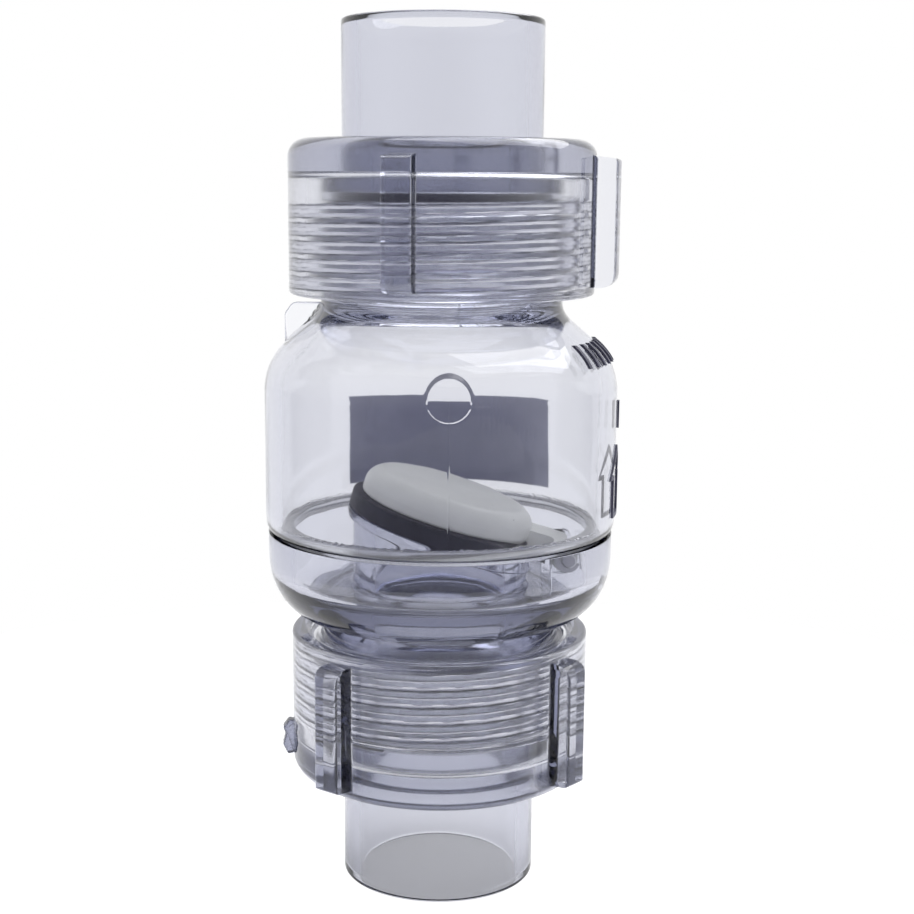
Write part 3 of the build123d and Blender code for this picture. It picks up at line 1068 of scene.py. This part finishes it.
@dataclass
class Bowl:
    """Lower half of the casing: spigot, bowl, tilted seat on its tube and the inlet neck."""

    thread: Thread
    height: float
    outer_r: float = 51.2
    floor_z: float = 81.4
    inner_floor_z: float = 92.0
    inner_bend: float = 5.0
    seam_z: float = 107.3
    spigot_r: tuple[float, float] = (43.6, 47.02)
    spigot_z: float = 110.6
    bore_r: float = 25.5
    seat_z: float = 107.0
    seat_r: float = 19.6
    tube_r: float = 25.9
    lip_r: float = 27.5
    lip: float = 3.0
    slope: float = 0.3
    arc_middle: tuple[float, float] = (35.0, 101.5)
    arc_reach: tuple[float, float] = (16.2, 20.1)
    arc_power: tuple[float, float] = (0.94, 0.92)

    def bowl_arc(self) -> list[Corner]:
        """Rows of the bowl's outer curve, from the neck out to the upright wall.

        Formula: near a quarter of an ellipse. The radius is the middle's plus the reach times
        the sine to a power just under one, and the height is the middle's less the same with
        the cosine.

        Returns:
            The rows as corners without bends.
        """
        angle = np.radians(np.linspace(4, 90, 30))
        (middle_r, middle_z), (out, down), (swell, sag) = self.arc_middle, self.arc_reach, self.arc_power
        r = middle_r + out * np.sin(angle) ** swell
        z = middle_z - down * np.cos(angle) ** sag
        return [Corner(float(a), float(b)) for a, b in zip(r, z)]

    def rows(self) -> np.ndarray:
        """The bowl's closed outline, drawn with the seat level.

        Returns:
            An (n, 2) array of radius and height.
        """
        root_r, end = self.thread.root_r, self.height - 203.6
        low, high = self.height - self.thread.last_z - 2.2, self.height - self.thread.first_z + 2.4
        floor = self.inner_floor_z
        return outline_rows([
            Corner(self.bore_r, end, 0.6), Corner(root_r, end, 0.5), Corner(root_r, low, 0, 1.0),
            Corner(root_r, high, 0, 0.22), Corner(root_r, self.floor_z - 0.9, 0.0, 1.0), *self.bowl_arc(),
            Corner(self.outer_r, self.seam_z, 0.15), Corner(self.spigot_r[1], self.seam_z, 0.1),
            Corner(self.spigot_r[1], self.spigot_z, 0.4), Corner(self.spigot_r[0], self.spigot_z, 0.4),
            Corner(self.spigot_r[0], floor, self.inner_bend), Corner(self.tube_r, floor, 1.5),
            Corner(self.tube_r, self.seat_z - self.lip, 0.5),
            Corner(self.lip_r, self.seat_z - self.lip, 0.5), Corner(self.lip_r, self.seat_z, 0.4),
            Corner(self.seat_r, self.seat_z, 0.6), Corner(self.seat_r, 80.0, 3.0, 2.0),
            Corner(self.bore_r, 73.0, 3.0),
        ])

    def build(self) -> bpy.types.Object:
        """Make and dress the bowl, and put it in its CAD node's place.

        Returns:
            The new object.
        """
        r, z, azimuth = spread(self.rows(), columns(240))
        turned_z, turned_azimuth = self.height - z, math.pi - azimuth
        r = self.thread.male(r, turned_z, turned_azimuth)
        foot = self.inner_floor_z + 2.0
        tube = (r < self.lip_r + 1) & (z > foot)
        lean = np.clip((z - foot) / (self.seat_z - self.lip - foot), 0, 1)
        z = np.where(tube, z - lean * self.slope * r * np.sin(azimuth), z)
        r += ripple(azimuth, z, 41, 0.07)
        piece = turned_piece("bowl", r, z, azimuth)
        dress(piece, Finish.CASING)
        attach(piece, "valve_body")
        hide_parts("lower_body")
        return piece


@dataclass
class CasingDetails:
    """Tabs, hinge ears and the cement line of the casing, and the gate stub of the inlet nut."""

    height: float
    hinge: tuple[float, float]
    half: float = 1.3
    rim: float = 0.95
    ear: float = 3.6
    ear_gap: float = 8.4
    pin_r: float = 2.03
    floor_z: float = 92.0
    wall_r: float = 47.06
    spigot_z: float = 110.6
    seam_z: float = 107.5
    cement_half: float = 0.03
    bead: float = 0.6
    bead_r: float = 46.5
    bead_depth: float = 0.3
    tab_azimuth: float = -90.0
    stub_azimuth: float = -84.0
    fleck_r: tuple[float, float] = (48.0, 51.3)
    fleck_z: tuple[float, float] = (112, 150)
    fleck_size: tuple[float, float] = (0.05, 0.16)
    fleck_stretch: tuple[float, float] = (0.5, 1.6)

    def side(self, azimuth: float) -> Matrix:
        """Turn a plate drawn on the +X side to an azimuth in degrees counted from -Y."""
        return Matrix.Rotation(math.radians(azimuth - 90), 4, "Z")

    def tabs(self) -> list[bpy.types.Object]:
        """Thin upright tabs on the shoulder and under the bowl, on the -X side.

        Returns:
            The two new objects.
        """
        upper = rounded([(34.7, 171.4, 0.3), (34.7, 174.5, 0.3), (43.6, 174.5, 2.6), (45.9, 171.2, 2.0),
                         (45.9, 160.7, 0.4)])
        lower = rounded([(34.9, 82.2, 0.3), (42.6, 81.8, 1.2), (45.4, 83.8, 1.2), (45.4, 87.4, 0.2)])
        tabs = (("shoulder_tab", upper), ("bowl_tab", lower))
        place = self.side(self.tab_azimuth)
        return [plate(name, outline, self.half, self.rim, place) for name, outline in tabs]

    def ears(self) -> bpy.types.Object:
        """Two upright ears beside the knuckle, with an open-topped slot for the pin.

        Returns:
            The new object.
        """
        x, z = self.hinge
        slot = self.pin_r - 0.25
        lip = math.sqrt(self.pin_r**2 - slot**2)
        opening = math.degrees(math.acos(lip / self.pin_r))
        under = np.radians(np.linspace(90 + opening, 450 - opening, 20))
        seat = [(x + self.pin_r * math.cos(a), z + self.pin_r * math.sin(a), 0.0) for a in under]
        outline = rounded([(x - 4.5, self.floor_z - 0.2, 0.0), (x + 6.6, self.floor_z - 0.2, 0.0),
                           (x + 6.6, z - 5.0, 0.8), (x + 4.5, z - 3.0, 1.0), (x + 4.5, z + 3.6, 1.5),
                           (x + slot, z + 4.4, 0.4), *reversed(seat), (x - slot, z + 4.4, 0.4),
                           (x - 4.5, z + 3.6, 1.5)])
        middle = self.ear_gap + self.ear / 2
        pieces = [plate(f"ear_{n}", outline, self.ear / 2, 0.4, Matrix.Translation((0, side * middle, 0)))
                  for n, side in enumerate((-1, 1))]
        return joined("hinge_ears", pieces)

    def stub(self) -> bpy.types.Object:
        """Broken-off gate on the inlet nut's wall: two rough lumps."""
        lump = rounded([(43.9, 38.4, 0.5), (46.2, 37.9, 0.8), (47.7, 41.0, 0.9), (46.9, 44.4, 0.7),
                        (47.6, 46.4, 0.6), (45.8, 48.7, 0.8), (43.9, 48.2, 0.4)])
        return plate("gate_stub", lump, 2.3, 0.7, self.side(self.stub_azimuth))

    def ragged(self, rng: np.random.Generator, azimuths: np.ndarray) -> np.ndarray:
        """Mean of nine quick sine waves round the axis, with random counts and starts."""
        waves = (np.sin(rng.integers(20, 190) * azimuths + rng.uniform(0, TAU)) for _ in range(9))
        return sum(waves) / 9

    def cement(self) -> bpy.types.Object:
        """Cloudy cement between the spigot and the bell, squeezed out in a ragged bead over the spigot.

        Formula: a closed section of eight rows round the axis. The bead's top stands over the
        spigot's top by the bead's height plus as much again times a ragged wave, and its inner
        edge is pushed in by the bead's depth times another.

        Returns:
            The new object.
        """
        azimuths = np.arange(720) * TAU / 720
        rng = np.random.default_rng(7)
        wave, other = self.ragged(rng, azimuths), self.ragged(rng, azimuths)
        top = self.spigot_z + self.bead + self.bead * np.clip(wave, -0.4, 1)
        inner = self.bead_r - self.bead_depth * np.clip(other, -1, 1)
        outer_r = np.full_like(azimuths, self.wall_r + self.cement_half)
        thin_r = np.full_like(azimuths, self.wall_r - self.cement_half)
        low = np.full_like(azimuths, self.seam_z)
        rim = np.full_like(azimuths, self.spigot_z + 0.05)
        r = np.stack([thin_r, outer_r, outer_r, outer_r, outer_r - 0.25, inner, inner - 0.1, thin_r - 0.1])
        z = np.stack([low, low, rim, top - 0.2, top, top - 0.25, rim + 0.02, rim])
        return turned_piece("seam_cement", r, z, np.broadcast_to(azimuths, r.shape))

    def flecks(self, count: int = 70) -> bpy.types.Object:
        """Dust and tiny flaws inside the bell's wall, as small stretched octahedra.

        Formula: each fleck's centre is a random azimuth and height within the wall, and its six
        points lie at plus or minus its half sizes along its own axes.

        Args:
            count: how many there are.

        Returns:
            The new object.
        """
        rng = np.random.default_rng(19)
        azimuth, z = rng.uniform(0, TAU, count), rng.uniform(*self.fleck_z, count)
        r = rng.uniform(*self.fleck_r, count)
        centre = np.stack([r * np.sin(azimuth), -r * np.cos(azimuth), z], -1)
        size = rng.uniform(*self.fleck_size, (count, 1)) * rng.uniform(*self.fleck_stretch, (count, 3))
        ways = np.concatenate([np.eye(3), -np.eye(3)])
        points = (centre[:, None] + ways[None] * size[:, None]).reshape(-1, 3)
        corner = np.array([(0, 1, 2), (1, 3, 2), (3, 4, 2), (4, 0, 2),
                           (1, 0, 5), (3, 1, 5), (4, 3, 5), (0, 4, 5)])
        faces = (corner[None] + 6 * np.arange(count)[:, None, None]).reshape(-1, 3)
        return make_piece("wall_flecks", points, faces)

    def build(self) -> None:
        """Make and dress the details, and put them on their bodies."""
        flecks, tabs, stub, ears, cement = self.flecks(), self.tabs(), self.stub(), self.ears(), self.cement()
        looks = ((flecks, Finish.FLECK), *((piece, Finish.CASING) for piece in (*tabs, ears)),
                 (stub, Finish.GATE), (cement, Finish.CEMENT))
        for piece, finish in looks:
            dress(piece, finish)
            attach(piece, "lower_nut" if piece is stub else "valve_body")


# ---------------------------------------------------------------- stage, lights and camera


@dataclass
class Studio:
    """Pale floor, soft lights and the camera.

    Angles are in degrees and places in metres, but for the floor, which is in mm. The sky's
    colours stand at positions from 0, against the bright way, to 1, along it.
    """

    lens: float = 65.27
    sensor: float = 36.0
    eye: tuple[float, float, float] = (0.0, -0.4869, 0.2106)
    pitch: float = 11.05
    roll: float = 0.37
    shift: tuple[float, float] = (0.0183, 0.0475)
    bright_way: tuple[float, float, float] = (0.12, 0.62, 0.78)
    air: tuple[tuple[float, tuple], ...] = (
        (0.0, (0.17, 0.17, 0.24)), (0.18, (0.27, 0.27, 0.37)), (0.36, (0.73, 0.735, 0.81)),
        (0.56, (0.93, 0.935, 0.96)), (0.78, (1.0, 1.0, 1.0)),
    )
    glow: float = 1.1
    floor_r: float = 330.0
    floor_z: float = -0.05
    paper: tuple[float, float, float, float] = (0.8, 0.8, 0.81, 1)
    paper_glow: float = 1.25
    glow_share: float = 0.25
    lens_share: float = 0.55
    middle: tuple[float, float, float] = (0, 0, 0.13)
    bounces: int = 28

    def camera(self) -> None:
        """Set up the camera."""
        data = bpy.data.cameras.new("camera")
        data.lens = self.lens
        data.sensor_width = self.sensor
        data.shift_x, data.shift_y = self.shift
        camera = bpy.data.objects.new("camera", data)
        tilt = Matrix.Rotation(math.radians(90 - self.pitch), 4, "X")
        roll = Matrix.Rotation(math.radians(self.roll), 4, "Z")
        camera.matrix_world = Matrix.Translation(self.eye) @ (tilt @ roll)
        bpy.context.scene.collection.objects.link(camera)
        bpy.context.scene.camera = camera

    def floor(self) -> None:
        """Lay a pale floor, lifted to white for the lens so that it meets the air without a line.

        Formula: the glow's share of the paper is the glow share, plus the lens share for what
        the lens sees straight on.
        """
        ring = np.arange(64) * TAU / 64
        level = np.full_like(ring, self.floor_z)
        points = np.stack([self.floor_r * np.cos(ring), self.floor_r * np.sin(ring), level], -1)
        floor = make_piece("floor", points, [list(range(len(ring)))])
        nodes = Nodes("floor_paper")
        paper, glow = nodes.add("ShaderNodeBsdfPrincipled"), nodes.add("ShaderNodeEmission")
        mix, path = nodes.add("ShaderNodeMixShader"), nodes.add("ShaderNodeLightPath")
        paper.inputs["Base Color"].default_value = self.paper
        paper.inputs["Roughness"].default_value = 0.8
        paper.inputs["Specular IOR Level"].default_value = 0.0
        glow.inputs["Strength"].default_value = self.paper_glow
        share = nodes.add("ShaderNodeMath", operation="MULTIPLY_ADD")
        nodes.link(path.outputs["Is Camera Ray"], share.inputs[0])
        share.inputs[1].default_value, share.inputs[2].default_value = self.lens_share, self.glow_share
        nodes.link(share.outputs[0], mix.inputs[0])
        nodes.link(paper.outputs["BSDF"], mix.inputs[1])
        nodes.link(glow.outputs["Emission"], mix.inputs[2])
        nodes.link(mix.outputs["Shader"], nodes.output.inputs["Surface"])
        floor.data.materials.append(nodes.owner)

    def sky(self) -> None:
        """Light all round: white to the lens, dim low in front, and bright above and behind.

        Formula: each direction's dot product with the bright way, brought from -1..1 to 0..1,
        picks its colour from the stops.
        """
        nodes = Nodes("studio_air", world=True)
        bpy.context.scene.world = nodes.owner
        facing = nodes.add("ShaderNodeVectorMath", operation="DOT_PRODUCT")
        facing.inputs[1].default_value = self.bright_way
        nodes.link(nodes.add("ShaderNodeTexCoord").outputs["Generated"], facing.inputs[0])
        span = nodes.add("ShaderNodeMapRange")
        span.inputs["From Min"].default_value = -1
        nodes.link(facing.outputs["Value"], span.inputs["Value"])
        air, white = nodes.add("ShaderNodeBackground"), nodes.add("ShaderNodeBackground")
        nodes.link(nodes.ramp(span.outputs["Result"], self.air), air.inputs["Color"])
        air.inputs["Strength"].default_value = self.glow
        white.inputs["Color"].default_value = (1, 1, 1, 1)
        seen = nodes.add("ShaderNodeMixShader")
        nodes.link(nodes.add("ShaderNodeLightPath").outputs["Is Camera Ray"], seen.inputs["Fac"])
        nodes.link(air.outputs["Background"], seen.inputs[1])
        nodes.link(white.outputs["Background"], seen.inputs[2])
        nodes.link(seen.outputs["Shader"], nodes.output.inputs["Surface"])

    def lamp(self, name: str, place: tuple, size: tuple, power: float) -> None:
        """Hang a soft rectangular lamp that faces the valve's middle.

        Args:
            name: the lamp's name.
            place: where it hangs, in metres.
            size: its width and height in metres.
            power: its power in watts.
        """
        data = bpy.data.lights.new(name, "AREA")
        data.shape = "RECTANGLE"
        data.size, data.size_y = size
        data.energy = power
        lamp = bpy.data.objects.new(name, data)
        aim = Vector(self.middle) - Vector(place)
        lamp.matrix_world = Matrix.Translation(place) @ aim.to_track_quat("-Z", "Y").to_matrix().to_4x4()
        bpy.context.scene.collection.objects.link(lamp)

    def build(self) -> None:
        """Set the whole stage."""
        scene = bpy.context.scene
        scene.view_settings.view_transform = "Standard"
        cycles = scene.cycles
        cycles.max_bounces = cycles.transmission_bounces = self.bounces
        cycles.glossy_bounces = 8
        cycles.transparent_max_bounces = 16
        cycles.use_denoising = True
        self.camera()
        self.floor()
        self.sky()
        self.lamp("top_soft_box", (0.35, 0.35, 1.1), (1.1, 1.1), 10.0)


def dress_cad(nodes: dict) -> None:
    """Give the CAD pieces that stay their finishes.

    Args:
        nodes: the CAD nodes' objects by name.
    """
    finishes = {
        "upper_face_o_ring": Finish.RUBBER, "lower_face_o_ring": Finish.RUBBER, "flapper_seal": Finish.RUBBER,
        "flapper_disc": Finish.WHITE, "hinge_spacers": Finish.WHITE, "seal_retainer": Finish.STEEL,
        "retainer_screw": Finish.STEEL, "hinge_pin": Finish.STEEL, "hinge_pin_clips": Finish.STEEL,
        "rear_label": Finish.VINYL, "flow_marks": Finish.INK,
    }
    for name, finish in finishes.items():
        dress(nodes[name], finish)
        log.info("dressed %s", name)


def main() -> None:
    """Load the frame, make every piece and set the stage."""
    logging.basicConfig(level=logging.INFO, format="%(message)s")
    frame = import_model()
    mounts = {mount["name"]: mount for mount in frame["record"]["mounts"]}
    height = mounts["outlet_socket"]["pos_m"][2] / MM
    bore_r = mounts["outlet_socket"]["dims"]["r_mm"]
    thread = Thread()
    makers = [
        Bell(thread, height), Bowl(thread, height),
        EndConnector(height, bore_r, False), EndConnector(height, bore_r, True),
        UnionNut(thread, height, (-13.8, 76.2, 166.2), False),
        UnionNut(thread, height, (180 + 38.8, 180 - 50.3, 180 - 140.3), True),
    ]
    for maker in makers:
        piece = maker.build()
        log.info("built %s with %d faces", piece.name, len(piece.data.polygons))
    low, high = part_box("hinge_pin")
    CasingDetails(height, ((low[0] + high[0]) / 2 / MM, (low[2] + high[2]) / 2 / MM)).build()
    dress_cad(frame["nodes"])
    Studio().build()


if __name__ == "__main__":
    main()
